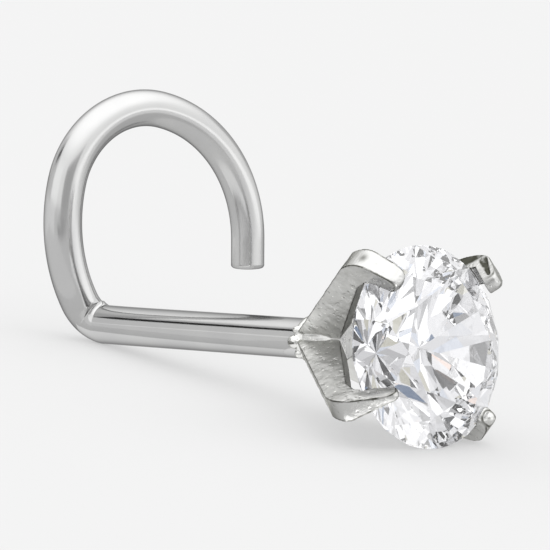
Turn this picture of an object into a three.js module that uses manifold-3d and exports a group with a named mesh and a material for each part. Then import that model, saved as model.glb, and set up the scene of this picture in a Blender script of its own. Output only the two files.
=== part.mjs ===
// A nose stud of the screw kind: a straight post with a curled tail, and a four-prong
// head that holds one round brilliant. Millimetres, +Z up, lying on a surface at z = 0.

import * as THREE from 'three';
import { ConvexGeometry } from 'three/addons/geometries/ConvexGeometry.js';
import { mergeVertices } from 'three/addons/utils/BufferGeometryUtils.js';
import Module from 'manifold-3d';

const wasm = await Module();
wasm.setup();

const degrees = THREE.MathUtils.degToRad;

// The stone, a round brilliant. Its girdle's middle is the origin of the stud's own frame,
// whose X axis runs along the post towards the stone.
const STONE_DIAMETER = 3.0;
const TABLE_SHARE = 0.57;
const CROWN_ANGLE = degrees(34.5);
const PAVILION_ANGLE = degrees(41);
const GIRDLE_THICKNESS = 0.06;
const STAR_LENGTH_SHARE = 0.5;
const LOWER_GIRDLE_SHARE = 0.78;
const STONE_FOLDS = 8;
const STONE_TILT = degrees(6.5);
const SEAT_SCALE = 1.035;

// The wire, which makes the post, the bend and the curled tail in one length.
const WIRE_DIAMETER = 0.62;
const WIRE_SIDES = 16;
const WIRE_STEPS = 120;
const POST_START = -1.7;
const BEND_PLACE = -7.75;
const BEND_RADIUS = 0.42;
const CURL_START_DIRECTION = degrees(126);
const CURL_LEAN = degrees(8);
const CURL_ARCS = [
  { radius: 2.75, turn: degrees(42) },
  { radius: 1.47, turn: degrees(90) },
  { radius: 2.3, turn: degrees(76) },
];
const TAIL_END_LENGTH = 0.43;

// The head: four flat prongs whose feet meet on the post's axis. Each was bent over the
// stone by hand, so each has its own direction round the post, its own reach from the
// post's axis to its back, and its own length of claw past the knee.
const PRONG_WIDTH = 0.35;
const PRONGS = [
  { direction: degrees(139), reach: 1.87, claw: 0.45 },
  { direction: degrees(213), reach: 1.87, claw: 0.66 },
  { direction: degrees(-43), reach: 1.8, claw: 0.42 },
  { direction: degrees(47), reach: 1.79, claw: 0.48 },
];
const HEAD_BASE = { place: -2.45, radius: 0.31 };
const SHOULDER = { place: -0.42, drop: 0.09 };
const BACK_OF_BEND = { place: -0.1, drop: -0.06 };
const KNEE = { place: 0.1, drop: 0.04 };
const CLAW_LEAN = degrees(40);
const CLAW_THICKNESS = 0.24;
const INNER_CORNER = { place: -0.03, radius: 1.53 };
const NOTCH_SIDE = { place: -0.35, radius: 1.38 };
const NOTCH_FLOOR = { place: -1.55, radius: 0.25 };
const SOLDER = { place: -2.43, radius: 0.37, length: 0.42, sides: 16, rings: 6 };

// How the stud lies: turned about the post and then pitched, it touches the surface with
// the bend, the lower far prong and the edge of the stone.
const ROLL = degrees(-4.5);
const PITCH = degrees(-8.9);

const silver = new THREE.MeshStandardMaterial({ color: 0xb4b5b2, metalness: 1, roughness: 0.22 });
const crystal = new THREE.MeshStandardMaterial({ color: 0xf4f6fa, metalness: 0, roughness: 0.02 });

function solidFrom(geometry) {
  const bare = geometry.clone();
  bare.deleteAttribute('normal');
  bare.deleteAttribute('uv');
  const merged = mergeVertices(bare, 1e-5);
  return new wasm.Manifold(new wasm.Mesh({
    numProp: 3,
    vertProperties: new Float32Array(merged.attributes.position.array),
    triVerts: new Uint32Array(merged.index.array),
  }));
}

function geometryFrom(solid) {
  const mesh = solid.getMesh();
  const geometry = new THREE.BufferGeometry();
  geometry.setAttribute('position', new THREE.BufferAttribute(mesh.vertProperties, 3));
  geometry.setIndex(new THREE.BufferAttribute(mesh.triVerts, 1));
  geometry.computeVertexNormals();
  return geometry;
}

// A circular arc in space. It leaves start along heading and turns towards side.
class SpaceArc extends THREE.Curve {
  constructor(start, heading, side, radius, turn) {
    super();
    Object.assign(this, { start, heading, side, radius, turn });
  }

  getPoint(t, target = new THREE.Vector3()) {
    const angle = this.turn * t;
    return target.copy(this.start)
      .addScaledVector(this.heading, this.radius * Math.sin(angle))
      .addScaledVector(this.side, this.radius * (1 - Math.cos(angle)));
  }

  endHeading() {
    return this.heading.clone().multiplyScalar(Math.cos(this.turn))
      .addScaledVector(this.side, Math.sin(this.turn));
  }

  endSide() {
    return this.side.clone().multiplyScalar(Math.cos(this.turn))
      .addScaledVector(this.heading, -Math.sin(this.turn));
  }
}

// The wire's middle line: straight post, sharp bend, then the curl in a leaning plane.
function wireRoute() {
  const route = new THREE.CurvePath();
  const postEnd = new THREE.Vector3(BEND_PLACE + BEND_RADIUS, 0, 0);
  route.add(new THREE.LineCurve3(new THREE.Vector3(POST_START, 0, 0), postEnd));

  const backwards = new THREE.Vector3(-1, 0, 0);
  const curlStart = new THREE.Vector3(0, Math.cos(CURL_START_DIRECTION), Math.sin(CURL_START_DIRECTION));
  const bend = new SpaceArc(postEnd, backwards, curlStart, BEND_RADIUS, Math.PI / 2);
  route.add(bend);

  let place = bend.getPoint(1);
  let heading = curlStart;
  let side = new THREE.Vector3(0, curlStart.z, -curlStart.y)
    .multiplyScalar(Math.cos(CURL_LEAN))
    .addScaledVector(backwards, -Math.sin(CURL_LEAN));
  for (const { radius, turn } of CURL_ARCS) {
    const arc = new SpaceArc(place, heading, side, radius, turn);
    route.add(arc);
    place = arc.getPoint(1);
    heading = arc.endHeading();
    side = arc.endSide();
  }
  route.add(new THREE.LineCurve3(place, place.clone().addScaledVector(heading, TAIL_END_LENGTH)));
  return route;
}

function wireSolid() {
  const section = new THREE.Shape();
  section.absarc(0, 0, WIRE_DIAMETER / 2, 0, 2 * Math.PI);
  return solidFrom(new THREE.ExtrudeGeometry(section, {
    curveSegments: WIRE_SIDES / 2,
    steps: WIRE_STEPS,
    extrudePath: wireRoute(),
    bevelEnabled: false,
  }));
}

// A prong seen from its side: the sketch's x is the distance from the post's axis, and its
// y is the place along the axis. The outline runs out over the back, round the tip and home.
function prongOutline(reach, claw) {
  const outline = new THREE.Shape();
  const radiusOf = (point) => point.radius ?? reach - point.drop;
  const lineTo = (point) => outline.lineTo(radiusOf(point), point.place);
  const curveTo = (over, end) => {
    outline.quadraticCurveTo(radiusOf(over), over.place, radiusOf(end), end.place);
  };
  const pointFrom = (start, along, under) => ({
    radius: radiusOf(start) - along * Math.sin(CLAW_LEAN) - under * Math.cos(CLAW_LEAN),
    place: start.place + along * Math.cos(CLAW_LEAN) - under * Math.sin(CLAW_LEAN),
  });
  const rounding = CLAW_THICKNESS / 2;
  outline.moveTo(0, HEAD_BASE.place);
  lineTo(HEAD_BASE);
  lineTo(SHOULDER);
  curveTo(BACK_OF_BEND, KNEE);
  lineTo(pointFrom(KNEE, claw - rounding, 0));
  curveTo(pointFrom(KNEE, claw, 0), pointFrom(KNEE, claw, rounding));
  lineTo(pointFrom(KNEE, claw, CLAW_THICKNESS));
  lineTo(INNER_CORNER);
  lineTo(NOTCH_SIDE);
  lineTo(NOTCH_FLOOR);
  outline.lineTo(0, NOTCH_FLOOR.place);
  outline.closePath();
  return outline;
}

function prongSolid({ direction, reach, claw }) {
  const geometry = new THREE.ExtrudeGeometry(prongOutline(reach, claw), {
    depth: PRONG_WIDTH,
    curveSegments: 5,
    bevelEnabled: false,
  });
  geometry.translate(0, 0, -PRONG_WIDTH / 2);
  const outwards = new THREE.Vector3(0, Math.cos(direction), Math.sin(direction));
  const alongPost = new THREE.Vector3(1, 0, 0);
  const across = new THREE.Vector3().crossVectors(outwards, alongPost);
  geometry.applyMatrix4(new THREE.Matrix4().makeBasis(outwards, alongPost, across));
  return solidFrom(geometry);
}

// The bead of solder that joins the post to the head's foot, turned about the post's axis.
function solderSolid() {
  const half = SOLDER.length / 2;
  const profile = [];
  for (let ring = 0; ring <= SOLDER.rings; ring += 1) {
    const angle = Math.PI * ring / SOLDER.rings;
    profile.push(new THREE.Vector2(SOLDER.radius * Math.sin(angle), -half * Math.cos(angle)));
  }
  profile[0].x = 0;
  profile[SOLDER.rings].x = 0;
  const geometry = new THREE.LatheGeometry(profile, SOLDER.sides);
  geometry.rotateZ(-Math.PI / 2);
  geometry.translate(SOLDER.place, 0, 0);
  return solidFrom(geometry);
}

// The brilliant's corners. Every flat is the plane through corners worked out here: the
// table, star, bezel and upper girdle flats above, the lower girdle and main flats below.
function stoneGeometry() {
  const radius = STONE_DIAMETER / 2;
  const tableRadius = radius * TABLE_SHARE;
  const fold = 2 * Math.PI / STONE_FOLDS;
  const slack = Math.cos(fold / 2);
  const crownAt = (reach) => GIRDLE_THICKNESS / 2 + (radius - reach) * Math.tan(CROWN_ANGLE);
  const pavilionAt = (reach) => -GIRDLE_THICKNESS / 2 - (radius - reach) * Math.tan(PAVILION_ANGLE);
  const starReach = THREE.MathUtils.lerp(tableRadius * slack, radius, STAR_LENGTH_SHARE);
  const lowerReach = radius * (1 - LOWER_GIRDLE_SHARE);

  const corner = (reach, angle, height) => new THREE.Vector3(
    height, reach * Math.cos(angle), reach * Math.sin(angle));
  const corners = [corner(0, 0, pavilionAt(0))];
  for (let index = 0; index < STONE_FOLDS; index += 1) {
    const main = index * fold;
    const between = main + fold / 2;
    corners.push(corner(tableRadius, main, crownAt(tableRadius)));
    corners.push(corner(starReach, between, crownAt(starReach * slack)));
    corners.push(corner(lowerReach, between, pavilionAt(lowerReach * slack)));
    for (const angle of [main, between]) {
      corners.push(corner(radius, angle, GIRDLE_THICKNESS / 2));
      corners.push(corner(radius, angle, -GIRDLE_THICKNESS / 2));
    }
  }
  const geometry = new ConvexGeometry(corners);
  geometry.rotateY(-STONE_TILT);
  return geometry;
}

function metalSolid() {
  let metal = wireSolid().add(solderSolid());
  for (const prong of PRONGS) {
    metal = metal.add(prongSolid(prong));
  }
  const seat = stoneGeometry().scale(SEAT_SCALE, SEAT_SCALE, SEAT_SCALE);
  return metal.subtract(solidFrom(seat));
}

function named(name, geometry, material) {
  const mesh = new THREE.Mesh(geometry, material);
  mesh.name = name;
  return mesh;
}

const stud = new THREE.Group();
stud.add(named('screw_post_and_head', geometryFrom(metalSolid()), silver));
stud.add(named('stone', stoneGeometry(), crystal));

// Lay the stud down and set its lowest point on z = 0, with its middle over the origin.
stud.rotation.set(ROLL, PITCH, 0, 'YXZ');
stud.updateMatrixWorld(true);
const extent = new THREE.Box3().setFromObject(stud, true);
const centre = extent.getCenter(new THREE.Vector3());
stud.position.set(-centre.x, -centre.y, -extent.min.z);

const part = new THREE.Group();
part.add(stud);
part.updateMatrixWorld(true);

export default part;
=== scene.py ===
"""A screw-type nose stud lying on a pale floor: silver wire, four-prong head, round brilliant.

Shapes are worked out in millimetres in the stud's own frame: the middle of the stone's
girdle is the origin, X runs along the post towards the stone and Z is the curl's up.
"""

import math

import bmesh
import bpy
import numpy as np
from mathutils import Matrix, Vector, noise


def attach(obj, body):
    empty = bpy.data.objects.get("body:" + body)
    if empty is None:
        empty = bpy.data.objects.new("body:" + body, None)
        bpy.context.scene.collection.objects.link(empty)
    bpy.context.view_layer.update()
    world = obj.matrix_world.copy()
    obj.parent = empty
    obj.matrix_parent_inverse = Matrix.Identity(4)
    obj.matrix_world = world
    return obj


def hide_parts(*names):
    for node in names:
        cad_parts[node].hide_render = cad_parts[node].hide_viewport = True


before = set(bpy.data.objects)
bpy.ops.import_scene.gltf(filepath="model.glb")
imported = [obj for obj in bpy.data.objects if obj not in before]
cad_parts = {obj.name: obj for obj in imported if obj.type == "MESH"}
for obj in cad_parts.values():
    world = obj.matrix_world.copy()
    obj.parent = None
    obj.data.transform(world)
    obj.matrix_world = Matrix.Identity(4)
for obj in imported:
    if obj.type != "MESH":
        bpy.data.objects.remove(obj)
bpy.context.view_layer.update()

MM = 0.001
rad = math.radians

# The stone.
STONE_RADIUS = 1.5
TABLE_SHARE = 0.57
CROWN_ANGLE = rad(34.5)
PAVILION_ANGLE = rad(41)
GIRDLE_THICKNESS = 0.06
STAR_LENGTH_SHARE = 0.5
LOWER_GIRDLE_SHARE = 0.78
STONE_FOLDS = 8
STONE_TURN = rad(9)
STONE_TILT = rad(6.5)
GIRDLE_SIDES = 192
UNCUT_HALF_LENGTH = 2
CULET_DEPTH = GIRDLE_THICKNESS / 2 + STONE_RADIUS * math.tan(PAVILION_ANGLE)

# The wire: post, bend and curled tail.
WIRE_RADIUS = 0.31
TAIL_RADIUS = 0.275
TAPER_START_SHARE = 0.55
POST_START = -1.9
BEND_PLACE = -7.75
BEND_RADIUS = 0.42
CURL_START_DIRECTION = rad(126)
CURL_LEAN = rad(8)
CURL_ARCS = ((2.75, rad(42)), (1.47, rad(90)), (2.3, rad(76)))
TAIL_END_LENGTH = 0.43

# How finely the wire is drawn. The steps are closest before the bend, where the fold is.
WIRE_SIDES = 72
POST_POINTS = 60
FOLD_LENGTH = 0.6
FOLD_STEPS = 30
BEND_STEPS = 48
CURL_STEP = 0.03
TAIL_END_STEPS = 12

# The fold inside the bend: the metal swells before it and sinks just behind it.
CREASE_SWELL = 0.065
CREASE_SWELL_LENGTH = 0.42
CREASE_DEPTH = 0.05
CREASE_DEPTH_LENGTH = 0.07
CREASE_FOCUS = 2.5

# The tail's domed end: how far each ring stands out, and its share of the radius.
END_RINGS = ((0.0, 0.985), (0.016, 0.95), (0.03, 0.87), (0.038, 0.7), (0.042, 0.4))
END_RINGS_START = 0.01
END_TIP = 0.053

# The head: upper near, lower near, lower far and upper far prong.
PRONGS = (
    {"direction": rad(139), "reach": 1.87, "claw": 0.58, "tip_width": 0.30, "roundness": 0.7},
    {"direction": rad(213), "reach": 1.87, "claw": 0.72, "tip_width": 0.13, "roundness": 0.8},
    {"direction": rad(-43), "reach": 1.80, "claw": 0.44, "tip_width": 0.26, "roundness": 1.1},
    {"direction": rad(47), "reach": 1.79, "claw": 0.50, "tip_width": 0.28, "roundness": 0.9},
)
UPPER_NEAR = PRONGS[0]
LOWER_FAR = PRONGS[2]
UPPER_FAR = PRONGS[3]
PRONG_WIDTH = 0.35
PRONG_SLICES = 13
NARROWING_START = 0.05
NARROWING_LENGTH = 0.4
ROUND_TIP_SHARE = 0.97

# A prong from the side. These are distances from the post's axis and places along it,
# and the outer ones count from the prong's own reach.
HEAD_BASE = (0.31, -2.45)
SHOULDER = (-0.09, -0.42)
BACK_OF_BEND = (0.06, -0.1)
KNEE = (-0.04, 0.1)
KNEE_STEPS = 8
INNER_CORNER = (1.53, -0.03)
NOTCH_SIDE = (1.38, -0.35)
NOTCH_FLOOR = (0.25, -1.55)
INNER_SIDE_LIMIT = 0.9
CLAW_LEAN = rad(40)
CLAW_THICKNESS = 0.24
CLAW_TIP_THICKNESS = 0.11
CLAW_END_LENGTH = 0.2
CLAW_END_STEPS = 6
CLAW_UNDERCUT = 0.01
SEAT_GAP = 0.02

# Solder: the joint, its small beads as (direction in degrees, place, size), and the valleys.
SOLDER_PLACE = -2.43
SOLDER_RADIUS = 0.37
SOLDER_HALF_LENGTH = 0.21
SOLDER_BEADS = (
    (190, -0.06, 0.105),
    (222, -0.03, 0.07),
    (160, -0.05, 0.06),
    (60, -0.08, 0.07),
    (-40, -0.06, 0.08),
)
SOLDER_BEAD_REACH = 0.35
SOLDER_BEAD_STRETCH = 1.1
VALLEY_SOLDER_PLACE = -2.08
VALLEY_SOLDER_RADII = (0.36, 0.075, 0.075)

# The bead on the lower far claw.
TIP_BEAD_FORWARD = 0.355
TIP_BEAD_UNDER = 0.095
TIP_BEAD_RADIUS = 0.108

# The head's mesh, its casting waves as (scale, height), the strip of painted shade along the edges,
# its hollow, and painted shade in and behind the hollow, round the claw's bead and on a spot of the
# knee.
REMESH_VOXEL = 0.0135
KEPT_SHARE = 0.5
CAST_WAVES = ((7, 0.006), (19, 0.003))
POLISH_FLATTENS = 0.6
EDGE_STRIP = 0.03
HOLLOW_DEPTH = 0.022
HOLLOW_NARROWING = 0.07
HOLLOW_PAINTED_SHADE = 2.2
DIM_SIDE_PAINTED_SHADE = 0.6
BEAD_RING_PAINTED_SHADE = 0.9
SHADE_SPOT_REACH = 1.88
SHADE_SPOT_RADIUS = 0.07
SHADE_SPOT_DARKNESS = 0.8

# The wire's surface. The curl's roughness sets in along the wire, in millimetres, and its
# faint marks are drawn out along it. Textures count in metres, as do the depths of bumps.
WIRE_EDGE_TINT = (0.3, 0.3, 0.3, 1)
WIRE_TONES = ((0.35, (0.49, 0.49, 0.49)), (0.7, (0.53, 0.53, 0.525)))
WIRE_CLOUD_SCALE = 900
POST_ROUGHNESS = ((0.3, 0.06), (0.75, 0.12))
CURL_ROUGHNESS = ((0.3, 0.15), (0.75, 0.21))
CURL_SETS_IN = {"From Min": 5.3, "From Max": 6.6}
MARKS_STRETCH = (0.8, 60, 1)
MARKS_DEPTH = 0.00001

# The head's surface.
HEAD_EDGE_TINT = (0.35, 0.35, 0.33, 1)
CAST_TONES = ((0.25, (0.43, 0.43, 0.42)), (0.75, (0.55, 0.55, 0.54)))
CAST_ROUGHNESS = ((0.3, 0.24), (0.7, 0.40))
BLOTCH_SCALE = 2600
GRAIN_SCALE = 14000
GRAIN_DEPTH = 0.00001
PIT_SCALE = 9000
PIT_SIZE = ((0.08, 0.0), (0.26, 1.0))
PIT_DEPTH = 0.000012
POLISHED_TONE = (0.54, 0.54, 0.53, 1)
POLISHED_ROUGHNESS = 0.14
# A paler tone painted as light near the solder joint and on the lower far claw.
PAINTED_LIGHT_TONE = (0.63, 0.63, 0.615, 1)
FLECK_TONE = (0.78, 0.78, 0.75, 1)
FLECK_SCALE = 15000
FLECK_CHANCE = ((0.87, 0.0), (0.90, 1.0))
FLECK_SIZE = ((0.2, 1.0), (0.3, 0.0))
# Painted shade: a dark tone on the edges, in the hollow, round the bead and on a knee spot, broken
# into patches.
PAINTED_SHADE_TONE = (0.07, 0.07, 0.06, 1)
PAINTED_SHADE_SCALE = 5200
PAINTED_SHADE_PATCHES = ((0.36, 0.35), (0.52, 1.0))

STONE_TINT = (0.94, 0.94, 0.95, 1)
STONE_INDEX = 2.16

# How the stud lies on the floor.
ROLL = rad(-4.5)
PITCH = rad(-8.9)

# The view: a long lens looks past the stone along the post.
FOCAL_PIXELS = 4080
PHOTO_PIXELS = 550
SENSOR_WIDTH = 36
CAMERA_DISTANCE = 60
STONE_AT_PIXEL = (426.7, 346.8)
POST_FROM_SIGHT = rad(44.5)
POST_SLOPE_IN_VIEW = rad(-3.9)

# The studio's sky: shares of its strength, from straight down to straight up.
SKY_STRENGTH = 2.2
SKY = ((0.0, 0.60), (0.25, 0.60), (0.5, 0.66), (0.7, 0.82), (0.87, 0.90), (1.0, 0.90))

# A pale floor, in metres. It glows a little, so that it comes out evenly pale.
FLOOR_RADIUS = 0.6
FLOOR_SIDES = 96
FLOOR_SHADE = 0.26
FLOOR_GLOW = 0.458

# The tent's patches as (share, colour).
TENT_RADIUS = 40
TENT_CELLS = 200
TENT_SHIFT = (0.031, 0.012, 0.0)
TENT_STRETCH = (1.0, 1.7, 0.75)
TENT_PATCHES = (
    (0.18, (1.28, 1.28, 1.29)),
    (0.20, (0.88, 0.88, 0.895)),
    (0.21, (0.70, 0.70, 0.715)),
    (0.135, (0.52, 0.52, 0.53)),
    (0.085, (0.30, 0.30, 0.305)),
    (0.085, (0.01, 0.01, 0.012)),
    (0.035, (0.60, 0.585, 0.50)),
    (0.05, (0.70, 0.74, 0.82)),
    (0.01, (0.98, 0.80, 0.72)),
    (0.01, (0.08, 0.14, 0.25)),
)

# Cards round the stud: name, (direction, height, distance), size and light.
CARDS_FACE = (0, 0, 1.5)
STANDING_CARDS = (
    ("dark_far_card", (97, 20, 90), (32, 26), 1.0),
    ("bright_side_card", (34, 2, 90), (112, 26), 1.75),
    ("dim_near_card", (-33, 12, 90), (80, 44), 0.62),
    ("bright_left_card", (-108, 12, 92), (80, 50), 1.5),
    ("dim_left_card", (-150, 13, 90), (62, 44), 0.93),
)

# The dark line along the post comes from strips, square to the way its reflections run:
# name, how far up from the line's middle, width and light.
LINE_MIDDLE = (-48.7, -29.0, 22.5)
LINE_HALF = (5.1, -4.3, 6.0)
LINE_LIFT = (-0.15, 0.74, 0.66)
LINE_STRIPS = (
    ("dark_line_card", 0.0, 8.4, 0.03),
    ("dim_line_card", 6.5, 4.6, 0.7),
    ("soft_line_card", 11.0, 4.4, 1.05),
)

# Panels lying on the floor: name, centre, size and light.
PANEL_HEIGHT = 0.02
FLOOR_PANELS = (
    ("bright_floor_panel", (-24.5, -27), (41, 38), 1.15),
    ("left_floor_panel", (-27, -2), (36, 12), 1.15),
    ("under_post_panel", (-1.83, -0.5), (4.35, 1.6), 1.2),
    ("under_head_panel", (1.45, -1.35), (2.2, 2.2), 1.3),
    ("under_claw_panel", (4.6, -1.75), (2.0, 1.9), 2.3),
    ("dark_floor_panel", (-3, 6.5), (20, 8), 0.72),
    ("side_floor_panel", (24, 16), (36, 36), 1.1),
    ("near_floor_panel", (24, -21), (32, 26), 0.56),
    ("front_middle_panel", (3.5, -10.5), (9, 5), 0.45),
    ("front_left_panel", (-5, -5), (8, 6), 0.97),
)


def stud_matrix():
    """The stud's frame in the model's frame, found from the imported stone's culet."""
    turn = Matrix.Rotation(PITCH, 4, "Y") @ Matrix.Rotation(ROLL, 4, "X")
    axis = turn @ Matrix.Rotation(-STONE_TILT, 4, "Y") @ Vector((1, 0, 0))
    corners = [v.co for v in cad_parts["stone"].data.vertices]
    culet = min(corners, key=lambda co: co.dot(axis))
    origin = culet + axis * CULET_DEPTH * MM
    return Matrix.Translation(origin) @ turn @ Matrix.Scale(MM, 4)


STUD = stud_matrix()


def new_object(name, mesh):
    obj = bpy.data.objects.new(name, mesh)
    bpy.context.scene.collection.objects.link(obj)
    return obj


def mesh_from(name, verts, faces, smooth=True):
    mesh = bpy.data.meshes.new(name)
    mesh.from_pydata([tuple(v) for v in verts], [], faces)
    mesh.validate()
    mesh.update()
    if smooth:
        mesh.polygons.foreach_set("use_smooth", [True] * len(mesh.polygons))
    return mesh


def mesh_of(name, bm):
    mesh = bpy.data.meshes.new(name)
    bm.to_mesh(mesh)
    bm.free()
    return mesh


def place(obj, node, slot):
    """Puts a piece made in the stud's frame where it belongs and ties it to the model."""
    obj.data.transform(STUD)
    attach(obj, "root")
    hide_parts(node)


def smoothstep(low, high, value):
    t = np.clip((value - low) / (high - low), 0, 1)
    return t * t * (3 - 2 * t)


# The wire.


def arc_points(start, heading, side, radius, turn, count):
    points = []
    for i in range(1, count + 1):
        a = turn * i / count
        points.append(start + heading * radius * math.sin(a) + side * radius * (1 - math.cos(a)))
    end_heading = heading * math.cos(turn) + side * math.sin(turn)
    end_side = side * math.cos(turn) - heading * math.sin(turn)
    return points, end_heading, end_side


def wire_route():
    """The wire's middle line, with close steps round the bend."""
    post_end = BEND_PLACE + BEND_RADIUS
    fold_start = post_end + FOLD_LENGTH
    post = np.linspace(POST_START, fold_start, POST_POINTS)
    fold = np.linspace(fold_start, post_end, FOLD_STEPS + 1)[1:]
    points = [Vector((x, 0, 0)) for x in np.concatenate((post, fold))]
    back = Vector((-1, 0, 0))
    first = Vector((0, math.cos(CURL_START_DIRECTION), math.sin(CURL_START_DIRECTION)))
    more, heading, _ = arc_points(points[-1], back, first, BEND_RADIUS, math.pi / 2, BEND_STEPS)
    points += more
    side = Vector((0, first.z, -first.y)) * math.cos(CURL_LEAN) - back * math.sin(CURL_LEAN)
    for radius, turn in CURL_ARCS:
        steps = int(radius * turn / CURL_STEP)
        more, heading, side = arc_points(points[-1], heading, side, radius, turn, steps)
        points += more
    for _ in range(TAIL_END_STEPS):
        points.append(points[-1] + heading * TAIL_END_LENGTH / TAIL_END_STEPS)
    return points


def crease(s):
    """How much the wire swells or sinks towards the inside of the bend, at a place along it."""
    if s < 0:
        return CREASE_SWELL * math.exp(s / CREASE_SWELL_LENGTH)
    return -CREASE_DEPTH * math.exp(-s / CREASE_DEPTH_LENGTH)


def build_wire():
    pos = np.array(wire_route())
    count = len(pos)
    step = np.linalg.norm(np.diff(pos, axis=0), axis=1)
    along = np.concatenate(([0], np.cumsum(step)))
    total = along[-1]
    tangent = np.gradient(pos, along, axis=0)
    tangent /= np.linalg.norm(tangent, axis=1)[:, None]

    # Carry one side direction along the route without twist.
    normal = np.zeros_like(pos)
    normal[0] = (0, 0, 1)
    for i in range(1, count):
        v = normal[i - 1] - tangent[i] * normal[i - 1].dot(tangent[i])
        normal[i] = v / np.linalg.norm(v)
    binormal = np.cross(tangent, normal)

    bend_start = BEND_PLACE + BEND_RADIUS
    crease_at = (POST_START - bend_start) + BEND_RADIUS * math.pi / 4
    inner = np.array((1, math.cos(CURL_START_DIRECTION), math.sin(CURL_START_DIRECTION)))
    inner /= np.linalg.norm(inner)
    taper = smoothstep(TAPER_START_SHARE, 1.0, along / total)
    radius = WIRE_RADIUS + (TAIL_RADIUS - WIRE_RADIUS) * taper
    angles = [2 * math.pi * j / WIRE_SIDES for j in range(WIRE_SIDES)]

    verts = []
    uvs = []
    for i in range(count):
        fold = crease(along[i] - crease_at)
        for a in angles:
            out = normal[i] * math.cos(a) + binormal[i] * math.sin(a)
            lean = max(0.0, float(out.dot(inner)))
            verts.append(pos[i] + out * (radius[i] + fold * lean ** CREASE_FOCUS))
            uvs.append((along[i], a / (2 * math.pi)))
    for lift, share in END_RINGS:
        for a in angles:
            out = normal[-1] * math.cos(a) + binormal[-1] * math.sin(a)
            forward = tangent[-1] * (lift + END_RINGS_START)
            verts.append(pos[-1] + forward + out * radius[-1] * share)
            uvs.append((total + lift, a / (2 * math.pi)))
    rings = count + len(END_RINGS)
    faces = []
    for i in range(rings - 1):
        here = i * WIRE_SIDES
        ahead = here + WIRE_SIDES
        for j in range(WIRE_SIDES):
            k = (j + 1) % WIRE_SIDES
            faces.append((here + j, here + k, ahead + k, ahead + j))
    tip = len(verts)
    foot = tip + 1
    verts += [pos[-1] + tangent[-1] * END_TIP, pos[0]]
    uvs += [(total + END_TIP, 0), (0, 0)]
    last = (rings - 1) * WIRE_SIDES
    for j in range(WIRE_SIDES):
        k = (j + 1) % WIRE_SIDES
        faces.append((last + j, last + k, tip))
        faces.append((k, j, foot))
    mesh = mesh_from("wire", verts, faces)
    layer = mesh.uv_layers.new(name="along_and_round")
    for loop in mesh.loops:
        layer.data[loop.index].uv = uvs[loop.vertex_index]
    fix_normals(mesh)
    return new_object("wire", mesh)


def fix_normals(mesh):
    bm = bmesh.new()
    bm.from_mesh(mesh)
    bmesh.ops.recalc_face_normals(bm, faces=bm.faces)
    bm.to_mesh(mesh)
    bm.free()


# The head's shape.


def off_knee(reach, forward, under):
    """A place on a claw, from how far it is past the knee and under the outer face."""
    return (
        reach + KNEE[0] - forward * math.sin(CLAW_LEAN) - under * math.cos(CLAW_LEAN),
        KNEE[1] + forward * math.cos(CLAW_LEAN) - under * math.sin(CLAW_LEAN),
    )


def curve(a, over, b, steps):
    points = []
    for i in range(1, steps + 1):
        t = i / steps
        points.append(tuple(
            (1 - t) ** 2 * p + 2 * t * (1 - t) * q + t * t * r for p, q, r in zip(a, over, b)
        ))
    return points


def claw_outline(reach, claw):
    """A prong from the side: distance from the post's axis, and place along it."""
    shoulder = (reach + SHOULDER[0], SHOULDER[1])
    bend = (reach + BACK_OF_BEND[0], BACK_OF_BEND[1])
    points = [(0, HEAD_BASE[1]), HEAD_BASE, shoulder]
    points += curve(shoulder, bend, off_knee(reach, 0, 0), KNEE_STEPS)
    end_start = off_knee(reach, claw - CLAW_END_LENGTH, 0)
    end_corner = off_knee(reach, claw, 0)
    points.append(end_start)
    points += curve(end_start, end_corner, off_knee(reach, claw, CLAW_TIP_THICKNESS), CLAW_END_STEPS)
    points.append(off_knee(reach, claw - CLAW_UNDERCUT, CLAW_THICKNESS))
    return points + [INNER_CORNER, NOTCH_SIDE, NOTCH_FLOOR, (0, NOTCH_FLOOR[1])]


def prong_width(place, tip_width):
    """A prong's width, which narrows to its tip's past the knee."""
    narrowed = np.clip((place - NARROWING_START) / NARROWING_LENGTH, 0, 1)
    return PRONG_WIDTH + (tip_width - PRONG_WIDTH) * narrowed


def add_prong(bm, direction, reach, claw, tip_width, roundness):
    """Slices across the prong's width, each with its own claw, so the tip is round in plan."""
    rows = []
    outwards = Vector((0, math.cos(direction), math.sin(direction)))
    along = Vector((1, 0, 0))
    across = outwards.cross(along)
    for i in range(PRONG_SLICES):
        share = 2 * i / (PRONG_SLICES - 1) - 1
        rounding = 1 - math.sqrt(max(0.0, 1 - (ROUND_TIP_SHARE * share) ** 2))
        outline = claw_outline(reach, claw - rounding * tip_width / 2 * roundness)
        row = []
        for r, x in outline:
            width = float(prong_width(x, tip_width)) if r > INNER_SIDE_LIMIT else PRONG_WIDTH
            row.append(bm.verts.new(outwards * r + along * x + across * share * width / 2))
        rows.append(row)
    size = len(rows[0])
    for a, b in zip(rows, rows[1:]):
        for j in range(size):
            k = (j + 1) % size
            bm.faces.new((a[j], a[k], b[k], b[j]))
    bm.faces.new(list(reversed(rows[0])))
    bm.faces.new(rows[-1])


def add_ellipsoid(bm, centre, radii):
    made = bmesh.ops.create_icosphere(bm, subdivisions=4, radius=1)
    shape = Matrix.Diagonal((*radii, 1))
    bmesh.ops.transform(bm, matrix=Matrix.Translation(centre) @ shape, verts=made["verts"])


def tip_bead_centre():
    out, past = off_knee(LOWER_FAR["reach"], TIP_BEAD_FORWARD, TIP_BEAD_UNDER)
    turn = LOWER_FAR["direction"]
    return (past, out * math.cos(turn), out * math.sin(turn))


def apply_modifiers(obj):
    depsgraph = bpy.context.evaluated_depsgraph_get()
    mesh = bpy.data.meshes.new_from_object(obj.evaluated_get(depsgraph))
    old = obj.data
    obj.modifiers.clear()
    obj.data = mesh
    bpy.data.meshes.remove(old)


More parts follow.
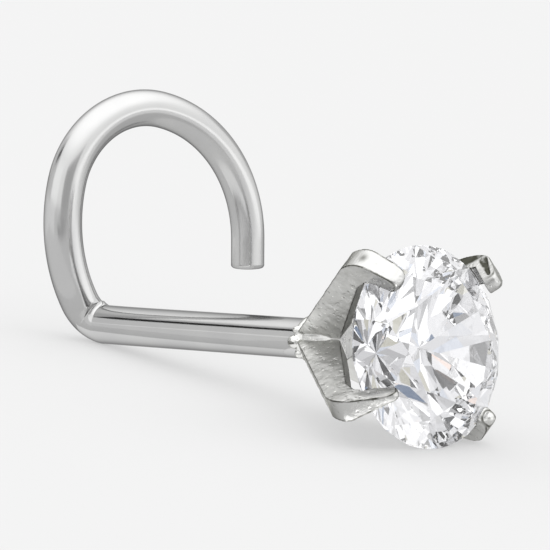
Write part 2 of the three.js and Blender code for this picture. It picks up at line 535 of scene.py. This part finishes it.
def add_prongs(bm, stone_mesh):
    """All prongs, with seats cut by a slightly larger stone."""
    cutter = new_object("seat_cutter", stone_mesh.copy())
    cutter.data.transform(Matrix.Scale(1 + SEAT_GAP / STONE_RADIUS, 4))
    for prong in PRONGS:
        one = bmesh.new()
        add_prong(one, **prong)
        bmesh.ops.recalc_face_normals(one, faces=one.faces)
        piece = new_object("prong", mesh_of("prong", one))
        cut = piece.modifiers.new("seat", "BOOLEAN")
        cut.operation = "DIFFERENCE"
        cut.object = cutter
        cut.solver = "EXACT"
        apply_modifiers(piece)
        bm.from_mesh(piece.data)
        bpy.data.objects.remove(piece)
    bpy.data.objects.remove(cutter)


def add_solder(bm):
    """The joint with its beads, the bead on a claw, and solder that ran up the four valleys."""
    radii = (SOLDER_HALF_LENGTH, SOLDER_RADIUS, SOLDER_RADIUS)
    add_ellipsoid(bm, (SOLDER_PLACE, 0, 0), radii)
    for degrees, rise, size in SOLDER_BEADS:
        y = SOLDER_BEAD_REACH * math.cos(rad(degrees))
        z = SOLDER_BEAD_REACH * math.sin(rad(degrees))
        add_ellipsoid(bm, (SOLDER_PLACE + rise, y, z), (size * SOLDER_BEAD_STRETCH, size, size))
    add_ellipsoid(bm, tip_bead_centre(), (TIP_BEAD_RADIUS,) * 3)
    directions = sorted(prong["direction"] for prong in PRONGS)
    for low, high in zip(directions, directions[1:] + [directions[0] + 2 * math.pi]):
        middle = (low + high) / 2
        depth = PRONG_WIDTH / 2 / math.sin((high - low) / 2)
        centre = (VALLEY_SOLDER_PLACE, depth * math.cos(middle), depth * math.sin(middle))
        add_ellipsoid(bm, centre, VALLEY_SOLDER_RADII)


def build_head(stone_mesh):
    bm = bmesh.new()
    add_prongs(bm, stone_mesh)
    add_solder(bm)
    head = new_object("prong_head", mesh_of("prong_head", bm))
    remesh = head.modifiers.new("fuse", "REMESH")
    remesh.mode = "VOXEL"
    remesh.voxel_size = REMESH_VOXEL
    remesh.use_smooth_shade = True
    soften = head.modifiers.new("soften", "SMOOTH")
    soften.factor = 0.5
    soften.iterations = 1
    thin = head.modifiers.new("thin", "DECIMATE")
    thin.ratio = KEPT_SHARE
    apply_modifiers(head)
    head.data.polygons.foreach_set("use_smooth", [True] * len(head.data.polygons))
    roughen_head(head.data)
    return head


# The head's surface.


def read_vectors(mesh):
    """All corners and their normals at once, which is far quicker than one by one."""
    count = len(mesh.vertices)
    places = np.empty(count * 3)
    mesh.vertices.foreach_get("co", places)
    normals = np.empty(count * 3)
    mesh.vertex_normals.foreach_get("vector", normals)
    return places.reshape(-1, 3), normals.reshape(-1, 3)


def noise_at(places, scale):
    return np.array([noise.noise(Vector(p)) for p in places * scale])


def outwards_of(prong):
    return np.array((0, math.cos(prong["direction"]), math.sin(prong["direction"])))


def beside_prong(co, normal, prong):
    """How far in from a prong's sides points lie, how sideways they face, and which are on it."""
    outwards = outwards_of(prong)
    across = np.cross(outwards, (1, 0, 0))
    inset = prong_width(co[:, 0], prong["tip_width"]) / 2 - np.abs(co @ across)
    sideways = np.abs(normal @ across)
    on_prong = (co @ outwards > 0.4) & (inset > -0.05)
    return inset, sideways, on_prong


def claw_place(co, prong):
    """Where points lie on a claw: how far past its knee, and how deep under its outer face."""
    inwards = prong["reach"] + KNEE[0] - co @ outwards_of(prong)
    past = co[:, 0] - KNEE[1]
    forward = inwards * math.sin(CLAW_LEAN) + past * math.cos(CLAW_LEAN)
    under = inwards * math.cos(CLAW_LEAN) - past * math.sin(CLAW_LEAN)
    return forward, under


def painted_edge_shade(co, normal):
    """Painted shade: dark lines along the edges of the prongs' backs."""
    edges = np.zeros(len(co))
    for prong in PRONGS:
        inset, sideways, on_prong = beside_prong(co, normal, prong)
        strip = 1 - smoothstep(EDGE_STRIP * 0.6, EDGE_STRIP, inset)
        back = 1 - smoothstep(0.75, 0.95, sideways)
        edges = np.maximum(edges, strip * back * on_prong)
    return edges


def claw_hollow_and_shade(co, normal):
    """The hollow in the side of the upper far claw, and the painted shade and dark reflection in it
    and behind it.
    """
    _, sideways, on_prong = beside_prong(co, normal, UPPER_FAR)
    forward, under = claw_place(co, UPPER_FAR)
    claw = UPPER_FAR["claw"]
    side = smoothstep(0.5, 0.8, sideways) * on_prong * (co @ outwards_of(UPPER_FAR) > 1.0)
    taper = HOLLOW_NARROWING * np.clip(forward / claw, 0, 1)
    hollow = smoothstep(0.02 + taper, 0.05 + taper, under)
    hollow *= 1 - smoothstep(0.13, 0.18, under + taper / 2)
    hollow *= smoothstep(-0.12, 0.0, forward)
    hollow *= 1 - smoothstep(claw - 0.14, claw - 0.07, forward)
    dim = DIM_SIDE_PAINTED_SHADE * smoothstep(0.02, 0.05, under)
    dim *= smoothstep(-0.65, -0.35, forward) * (1 - smoothstep(-0.16, -0.06, forward))
    return hollow * side, np.maximum(hollow, dim) * side * HOLLOW_PAINTED_SHADE


def painted_bead_ring_shade(co):
    """Painted shade round the foot of the bead on the lower far claw."""
    away = np.linalg.norm(co - tip_bead_centre(), axis=1) / TIP_BEAD_RADIUS
    return smoothstep(1.02, 1.07, away) * (1 - smoothstep(1.15, 1.35, away)) * BEAD_RING_PAINTED_SHADE


def painted_shade_spot(co):
    """A painted dark spot of shade on the knee of the upper near prong."""
    away = np.linalg.norm(co - outwards_of(UPPER_NEAR) * SHADE_SPOT_REACH, axis=1)
    return SHADE_SPOT_DARKNESS * np.exp(-((away / SHADE_SPOT_RADIUS) ** 2))


def polished_places(co, normal, radius):
    """The prongs' backs, the claws' faces and the solder beads shine. Cast sides are dull."""
    outwards = co[:, 1:] / np.maximum(radius, 1e-6)[:, None]
    face_out = (normal[:, 1:] * outwards).sum(axis=1)
    back = smoothstep(0.55, 0.85, face_out) * smoothstep(-0.95, -0.35, co[:, 0])
    tip = smoothstep(0.6, 0.9, normal[:, 0]) * smoothstep(0.1, 0.2, co[:, 0])
    bead = (radius > 0.36) & (radius < 0.5) & (co[:, 0] < -2.3)
    return np.maximum(np.maximum(back, tip), bead)


def painted_light_places(co):
    """Painted light: the cast metal is painted palest near the solder joint and on the lower far
    claw.
    """
    low_end = 1 - smoothstep(-2.1, -1.2, co[:, 0])
    return np.maximum(low_end, smoothstep(1.0, 1.3, co @ outwards_of(LOWER_FAR)))


def store(mesh, name, values):
    attribute = mesh.attributes.new(name, "FLOAT", "POINT")
    attribute.data.foreach_set("value", values)


def roughen_head(mesh):
    """Unevenness left by casting, the hollow in the upper far claw, and masks for the material, with
    painted shade and painted light among them.
    """
    co, normal = read_vectors(mesh)
    radius = np.hypot(co[:, 1], co[:, 2])
    polished = polished_places(co, normal, radius)
    hollow, hollow_shade = claw_hollow_and_shade(co, normal)
    rough = sum(noise_at(co, scale) * height for scale, height in CAST_WAVES)
    rough *= (1 - POLISH_FLATTENS * polished) * smoothstep(0.2, 0.5, radius)
    rough -= HOLLOW_DEPTH * hollow
    mesh.vertices.foreach_set("co", (co + normal * rough[:, None]).ravel())
    # Masks of painted shade, then the polish, then the mask of painted light.
    painted_shade_masks = (painted_edge_shade(co, normal), hollow_shade, painted_bead_ring_shade(co), painted_shade_spot(co))
    store(mesh, "polish", polished)
    store(mesh, "painted_shade", np.maximum.reduce(painted_shade_masks))
    store(mesh, "painted_light", painted_light_places(co))
    mesh.update()


# The stone.


def build_stone_mesh():
    """A fine cylinder cut by the brilliant's planes, so that each facet is exactly flat."""
    fold = 2 * math.pi / STONE_FOLDS
    slack = math.cos(fold / 2)
    half = GIRDLE_THICKNESS / 2
    table_radius = STONE_RADIUS * TABLE_SHARE
    crown_height = half + (STONE_RADIUS - table_radius) * math.tan(CROWN_ANGLE)

    def crown_at(reach):
        return half + (STONE_RADIUS - reach) * math.tan(CROWN_ANGLE)

    def pavilion_at(reach):
        return -half - (STONE_RADIUS - reach) * math.tan(PAVILION_ANGLE)

    star_reach = (table_radius * slack + STONE_RADIUS) * STAR_LENGTH_SHARE
    lower_reach = STONE_RADIUS * (1 - LOWER_GIRDLE_SHARE)

    def corner(reach, angle, height):
        return Vector((height, reach * math.cos(angle), reach * math.sin(angle)))

    planes = [(corner(0, 0, crown_height), Vector((1, 0, 0)))]

    def plane(a, b, c):
        normal = (b - a).cross(c - a).normalized()
        if normal.dot(a) < 0:
            normal.negate()
        planes.append((a, normal))

    for i in range(STONE_FOLDS):
        main = i * fold
        left = main - fold / 2
        right = main + fold / 2
        table_here = corner(table_radius, main, crown_height)
        table_next = corner(table_radius, main + fold, crown_height)
        star_left = corner(star_reach, left, crown_at(star_reach * slack))
        star_right = corner(star_reach, right, crown_at(star_reach * slack))
        rim = corner(STONE_RADIUS, main, half)
        plane(table_here, star_left, rim)
        plane(table_here, table_next, star_right)
        plane(star_right, rim, corner(STONE_RADIUS, right, half))
        plane(star_left, rim, corner(STONE_RADIUS, left, half))
        low_left = corner(lower_reach, left, pavilion_at(lower_reach * slack))
        low_right = corner(lower_reach, right, pavilion_at(lower_reach * slack))
        under = corner(STONE_RADIUS, main, -half)
        plane(corner(0, 0, pavilion_at(0)), low_left, under)
        plane(low_right, under, corner(STONE_RADIUS, right, -half))
        plane(low_left, under, corner(STONE_RADIUS, left, -half))
    faces = round_slab(STONE_RADIUS, UNCUT_HALF_LENGTH, GIRDLE_SIDES)
    for at, normal in planes:
        faces = cut_off(faces, np.array(at), np.array(normal))
    verts = [p for face in faces for p in face]
    ends = np.cumsum([0] + [len(face) for face in faces])
    mesh = mesh_from("brilliant_stone", verts, [range(a, b) for a, b in zip(ends, ends[1:])], False)
    bm = bmesh.new()
    bm.from_mesh(mesh)
    bmesh.ops.remove_doubles(bm, verts=bm.verts, dist=2e-5)
    bmesh.ops.dissolve_degenerate(bm, edges=bm.edges, dist=1e-6)
    bmesh.ops.recalc_face_normals(bm, faces=bm.faces)
    tilt = Matrix.Rotation(-STONE_TILT, 4, "Y") @ Matrix.Rotation(STONE_TURN, 4, "X")
    bmesh.ops.transform(bm, verts=bm.verts, matrix=tilt)
    bm.to_mesh(mesh)
    bm.free()
    return mesh


def round_slab(radius, half_length, sides):
    """The faces of a cylinder along X, as lists of corners."""
    angles = [2 * math.pi * i / sides for i in range(sides)]
    top = [np.array((half_length, radius * math.cos(a), radius * math.sin(a))) for a in angles]
    under = [p * (-1, 1, 1) for p in top]
    faces = [top, under[::-1]]
    for i in range(sides):
        k = (i + 1) % sides
        faces.append([under[i], under[k], top[k], top[i]])
    return faces


def cut_off(faces, at, normal):
    """Cuts away what lies beyond a plane and closes the cut with one flat facet."""
    kept = []
    rim = []
    for face in faces:
        heights = [float((p - at).dot(normal)) for p in face]
        if max(heights) <= 1e-7:
            kept.append(face)
            continue
        rest = []
        for i, p in enumerate(face):
            k = (i + 1) % len(face)
            low, high = heights[i], heights[k]
            if low <= 0:
                rest.append(p)
            if low * high < 0:
                crossing = p + (face[k] - p) * (low / (low - high))
                rest.append(crossing)
                rim.append(crossing)
            elif low == 0:
                rim.append(p)
        if len(rest) > 2:
            kept.append(rest)
    if not rim:
        return kept

    # The rim's corners in order round the facet, from any direction that isn't the normal's.
    middle = sum(rim) / len(rim)
    across = np.cross(normal, (0.31, 0.52, 0.79))
    across /= np.linalg.norm(across)
    other = np.cross(normal, across)
    rim.sort(key=lambda p: math.atan2((p - middle).dot(other), (p - middle).dot(across)))
    facet = [p for p, q in zip(rim, rim[1:] + rim[:1]) if np.linalg.norm(p - q) > 1e-6]
    if len(facet) > 2:
        kept.append(facet)
    return kept


# Materials.


def new_material(name):
    material = bpy.data.materials.new(name)
    material.use_nodes = True
    tree = material.node_tree
    return material, tree, tree.nodes["Principled BSDF"]


def add_node(tree, kind, inputs=(), **settings):
    node = tree.nodes.new(kind)
    for key, value in settings.items():
        setattr(node, key, value)
    for key, value in dict(inputs).items():
        node.inputs[key].default_value = value
    return node


def ramp(tree, source, stops, interpolation="LINEAR"):
    node = tree.nodes.new("ShaderNodeValToRGB")
    node.color_ramp.interpolation = interpolation
    elements = node.color_ramp.elements
    while len(elements) < len(stops):
        elements.new(0.5)
    for element, (position, value) in zip(elements, stops):
        element.position = position
        element.color = (value, value, value, 1) if isinstance(value, float) else (*value, 1)
    tree.links.new(source, node.inputs["Fac"])
    return node.outputs["Color"]


def fog(tree, vector, scale, detail, roughness=0.5):
    inputs = {"Scale": scale, "Detail": detail, "Roughness": roughness}
    node = add_node(tree, "ShaderNodeTexNoise", inputs)
    tree.links.new(vector, node.inputs["Vector"])
    return node.outputs["Fac"]


def cells(tree, vector, scale):
    """A cell pattern: how far each place is from its cell's middle, and one random share a cell."""
    node = add_node(tree, "ShaderNodeTexVoronoi", {"Scale": scale})
    tree.links.new(vector, node.inputs["Vector"])
    split = add_node(tree, "ShaderNodeSeparateColor")
    tree.links.new(node.outputs["Color"], split.inputs["Color"])
    return node.outputs["Distance"], split.outputs["Red"]


def mix(tree, factor, first, second, data_type="RGBA"):
    """Mixes the first with the second, each of them a link or a plain value."""
    node = add_node(tree, "ShaderNodeMix", data_type=data_type)
    for name, value in (("Factor", factor), ("A", first), ("B", second)):
        if isinstance(value, bpy.types.NodeSocket):
            tree.links.new(value, node.inputs[name])
        else:
            node.inputs[name].default_value = value
    return node.outputs["Result"]


def multiply(tree, first, second):
    node = add_node(tree, "ShaderNodeMath", operation="MULTIPLY")
    tree.links.new(first, node.inputs[0])
    tree.links.new(second, node.inputs[1])
    return node.outputs[0]


def bump(tree, height, strength, distance):
    node = add_node(tree, "ShaderNodeBump", {"Strength": strength, "Distance": distance})
    tree.links.new(height, node.inputs["Height"])
    return node


def stored(tree, name):
    return add_node(tree, "ShaderNodeAttribute", attribute_name=name).outputs["Fac"]


def wire_material():
    """Drawn silver wire: faint marks along it, and a duller curl."""
    material, tree, shader = new_material("polished_wire")
    link = tree.links.new
    shader.inputs["Metallic"].default_value = 1
    shader.inputs["Specular Tint"].default_value = WIRE_EDGE_TINT
    place_on_wire = add_node(tree, "ShaderNodeUVMap", uv_map="along_and_round").outputs["UV"]
    stretch = add_node(tree, "ShaderNodeMapping", {"Scale": MARKS_STRETCH})
    link(place_on_wire, stretch.inputs["Vector"])
    marks = fog(tree, stretch.outputs["Vector"], 1.0, 6, 0.6)
    coords = add_node(tree, "ShaderNodeTexCoord").outputs["Object"]
    tone = ramp(tree, fog(tree, coords, WIRE_CLOUD_SCALE, 4), WIRE_TONES)
    link(tone, shader.inputs["Base Color"])
    split = add_node(tree, "ShaderNodeSeparateXYZ")
    link(place_on_wire, split.inputs["Vector"])
    curl = add_node(tree, "ShaderNodeMapRange", CURL_SETS_IN)
    link(split.outputs["X"], curl.inputs["Value"])
    post_rough = ramp(tree, marks, POST_ROUGHNESS)
    curl_rough = ramp(tree, marks, CURL_ROUGHNESS)
    rough = mix(tree, curl.outputs["Result"], post_rough, curl_rough, "FLOAT")
    link(rough, shader.inputs["Roughness"])
    link(bump(tree, marks, 0.03, MARKS_DEPTH).outputs["Normal"], shader.inputs["Normal"])
    return material


def head_material():
    """Cast silver: blotchy and pitted, with flecks and polish, painted light near the joint and the
    lower far claw, and painted shade on the edges, the hollow, the bead ring and a knee spot.
    """
    material, tree, shader = new_material("cast_head")
    link = tree.links.new
    shader.inputs["Metallic"].default_value = 1
    shader.inputs["Specular Tint"].default_value = HEAD_EDGE_TINT
    coords = add_node(tree, "ShaderNodeTexCoord").outputs["Object"]
    polish = stored(tree, "polish")
    from_middle, chance = cells(tree, coords, FLECK_SCALE)
    few = ramp(tree, chance, FLECK_CHANCE)
    small = ramp(tree, from_middle, FLECK_SIZE)

    tone = ramp(tree, fog(tree, coords, BLOTCH_SCALE, 4), CAST_TONES)
    tone = mix(tree, polish, tone, POLISHED_TONE)
    # Painted light: paler near the solder joint and on the lower far claw.
    tone = mix(tree, stored(tree, "painted_light"), tone, PAINTED_LIGHT_TONE)
    tone = mix(tree, multiply(tree, few, small), tone, FLECK_TONE)
    # Painted shade: dark on the prongs' edges, in and behind the claw's hollow, round the bead and
    # on the knee spot.
    patches = ramp(tree, fog(tree, coords, PAINTED_SHADE_SCALE, 3), PAINTED_SHADE_PATCHES)
    tone = mix(tree, multiply(tree, stored(tree, "painted_shade"), patches), tone, PAINTED_SHADE_TONE)
    link(tone, shader.inputs["Base Color"])

    grain = fog(tree, coords, GRAIN_SCALE, 5, 0.65)
    dull = ramp(tree, grain, CAST_ROUGHNESS)
    link(mix(tree, polish, dull, POLISHED_ROUGHNESS, "FLOAT"), shader.inputs["Roughness"])

    from_pit, _ = cells(tree, coords, PIT_SCALE)
    pitted = bump(tree, ramp(tree, from_pit, PIT_SIZE), 0.5, PIT_DEPTH)
    grained = bump(tree, grain, 0.45, GRAIN_DEPTH)
    link(pitted.outputs["Normal"], grained.inputs["Normal"])
    link(grained.outputs["Normal"], shader.inputs["Normal"])
    return material


def stone_material():
    material, _, shader = new_material("clear_brilliant")
    shader.inputs["Base Color"].default_value = STONE_TINT
    shader.inputs["Roughness"].default_value = 0.0
    shader.inputs["IOR"].default_value = STONE_INDEX
    shader.inputs["Transmission Weight"].default_value = 1
    return material


def floor_material():
    material, _, shader = new_material("pale_floor")
    shader.inputs["Base Color"].default_value = (FLOOR_SHADE, FLOOR_SHADE, FLOOR_SHADE, 1)
    shader.inputs["Roughness"].default_value = 0.9
    shader.inputs["Specular IOR Level"].default_value = 0.0
    shader.inputs["Emission Color"].default_value = (1, 1, 1, 1)
    shader.inputs["Emission Strength"].default_value = FLOOR_GLOW
    return material


def glowing_material(name):
    """Black but for its own light, whose colour is still to be set."""
    material, tree, shader = new_material(name)
    shader.inputs["Base Color"].default_value = (0, 0, 0, 1)
    shader.inputs["Specular IOR Level"].default_value = 0.0
    shader.inputs["Emission Strength"].default_value = 1.0
    return material, tree, shader.inputs["Emission Color"]


# The view, floor and light.


def view_axes():
    """The stone's place and the stud's X, Y and Z in the camera's axes: right, up, backwards."""
    offset = CAMERA_DISTANCE / FOCAL_PIXELS
    stone = Vector((
        (STONE_AT_PIXEL[0] - PHOTO_PIXELS / 2) * offset,
        -(STONE_AT_PIXEL[1] - PHOTO_PIXELS / 2) * offset,
        -CAMERA_DISTANCE,
    ))
    sight = -stone.normalized()
    right = Vector((0, 1, 0)).cross(sight).normalized()
    up = sight.cross(right)
    slope = right * math.cos(POST_SLOPE_IN_VIEW) + up * math.sin(POST_SLOPE_IN_VIEW)
    along = slope * math.sin(POST_FROM_SIGHT) + sight * math.cos(POST_FROM_SIGHT)
    rise = up * math.cos(POST_SLOPE_IN_VIEW) - right * math.sin(POST_SLOPE_IN_VIEW)
    return stone, along, rise.cross(along), rise


def add_camera():
    stone, along, across, rise = view_axes()
    to_stud = Matrix((along, across, rise))
    data = bpy.data.cameras.new("camera")
    camera = new_object("camera", data)
    turn = STUD.to_3x3().normalized() @ to_stud
    location = STUD @ (to_stud @ -stone)
    camera.matrix_world = Matrix.Translation(location) @ turn.to_4x4()
    data.sensor_width = SENSOR_WIDTH
    data.lens = FOCAL_PIXELS * SENSOR_WIDTH / PHOTO_PIXELS
    data.clip_start = 0.001
    data.clip_end = 10
    bpy.context.scene.camera = camera


def add_floor():
    bm = bmesh.new()
    bmesh.ops.create_circle(bm, cap_ends=True, segments=FLOOR_SIDES, radius=FLOOR_RADIUS)
    floor = new_object("floor", mesh_of("floor", bm))
    floor.data.materials.append(floor_material())
    floor.visible_transmission = False


def add_world():
    """A white tent: brightest overhead, greyer towards the horizon."""
    world = bpy.data.worlds.new("studio")
    world.use_nodes = True
    bpy.context.scene.world = world
    tree = world.node_tree
    coords = add_node(tree, "ShaderNodeTexCoord")
    split = add_node(tree, "ShaderNodeSeparateXYZ")
    tree.links.new(coords.outputs["Generated"], split.inputs["Vector"])
    sky = ramp(tree, split.outputs["Z"], SKY)
    background = tree.nodes["Background"]
    tree.links.new(sky, background.inputs["Color"])
    background.inputs["Strength"].default_value = SKY_STRENGTH


def add_card(name, size, light, placement):
    """A studio card that only reflections see. The sparkle tent hides it from refractions."""
    w, h = size[0] * MM / 2, size[1] * MM / 2
    mesh = mesh_from(name, [(-w, -h, 0), (w, -h, 0), (w, h, 0), (-w, h, 0)], [(0, 1, 2, 3)], False)
    card = new_object(name, mesh)
    card.matrix_world = placement
    material, _, glow = glowing_material(name)
    glow.default_value = (light, light, light, 1)
    card.data.materials.append(material)
    card.visible_camera = False
    card.visible_diffuse = False
    card.visible_shadow = False
    return card


def standing(azimuth, height, distance):
    """Where a card stands, seen from the middle of the stud, which it faces."""
    turn, rise = rad(azimuth), rad(height)
    flat = distance * math.cos(rise)
    at = Vector((flat * math.cos(turn), flat * math.sin(turn), distance * math.sin(rise))) * MM
    aim = (Vector(CARDS_FACE) * MM - at).to_track_quat("Z", "Y")
    return Matrix.Translation(at) @ aim.to_matrix().to_4x4()


def between(start, end):
    """Where a long card lies between two places, turned towards the stud."""
    middle = (start + end) / 2
    along = (end - start).normalized()
    rise = (-middle.normalized()).cross(along).normalized()
    turn = Matrix((along, rise, along.cross(rise))).transposed()
    return Matrix.Translation(middle * MM) @ turn.to_4x4()


def add_cards():
    for name, place_in_sky, size, light in STANDING_CARDS:
        add_card(name, size, light, standing(*place_in_sky))
    for name, up, width, light in LINE_STRIPS:
        lift = Vector(LINE_LIFT) * up
        start = Vector(LINE_MIDDLE) - Vector(LINE_HALF) + lift
        end = Vector(LINE_MIDDLE) + Vector(LINE_HALF) + lift
        add_card(name, ((end - start).length, width), light, between(start, end))
    for name, centre, size, light in FLOOR_PANELS:
        at = Vector((*centre, PANEL_HEIGHT)) * MM
        panel = add_card(name, size, light, Matrix.Translation(at))
        panel.visible_transmission = False


def add_sparkle_tent():
    """A patchwork round the stone that only its refractions see, for crisp broken light."""
    bm = bmesh.new()
    bmesh.ops.create_icosphere(bm, subdivisions=5, radius=TENT_RADIUS * MM)
    tent = new_object("sparkle_tent", mesh_of("sparkle_tent", bm))
    tent.location = STUD.translation
    material, tree, glow = glowing_material("sparkle_patches")
    coords = add_node(tree, "ShaderNodeTexCoord")
    shift = {"Location": TENT_SHIFT, "Scale": TENT_STRETCH}
    stretch = add_node(tree, "ShaderNodeMapping", shift)
    tree.links.new(coords.outputs["Object"], stretch.inputs["Vector"])
    _, chance = cells(tree, stretch.outputs["Vector"], TENT_CELLS)
    stops = []
    start = 0
    for share, color in TENT_PATCHES:
        stops.append((start, color))
        start += share
    tree.links.new(ramp(tree, chance, stops, "CONSTANT"), glow)
    tent.data.materials.append(material)
    tent.visible_camera = False
    tent.visible_diffuse = False
    tent.visible_glossy = False
    tent.visible_shadow = False


scene = bpy.context.scene
scene.view_settings.view_transform = "Standard"
scene.cycles.max_bounces = 24
scene.cycles.transmission_bounces = 20
scene.cycles.glossy_bounces = 16

add_camera()
add_floor()
add_world()
add_cards()
add_sparkle_tent()

stone_mesh = build_stone_mesh()
head = build_head(stone_mesh)
stone = new_object("brilliant_stone", stone_mesh)
wire = build_wire()

head.data.materials.append(head_material())
stone.data.materials.append(stone_material())
wire.data.materials.append(wire_material())

place(head, "screw_post_and_head", "silver")
place(wire, "screw_post_and_head", "silver")
place(stone, "stone", "clear_stone")

# The stone's refractions show the tent's patches, not the metal behind it.
head.visible_transmission = False
wire.visible_transmission = False
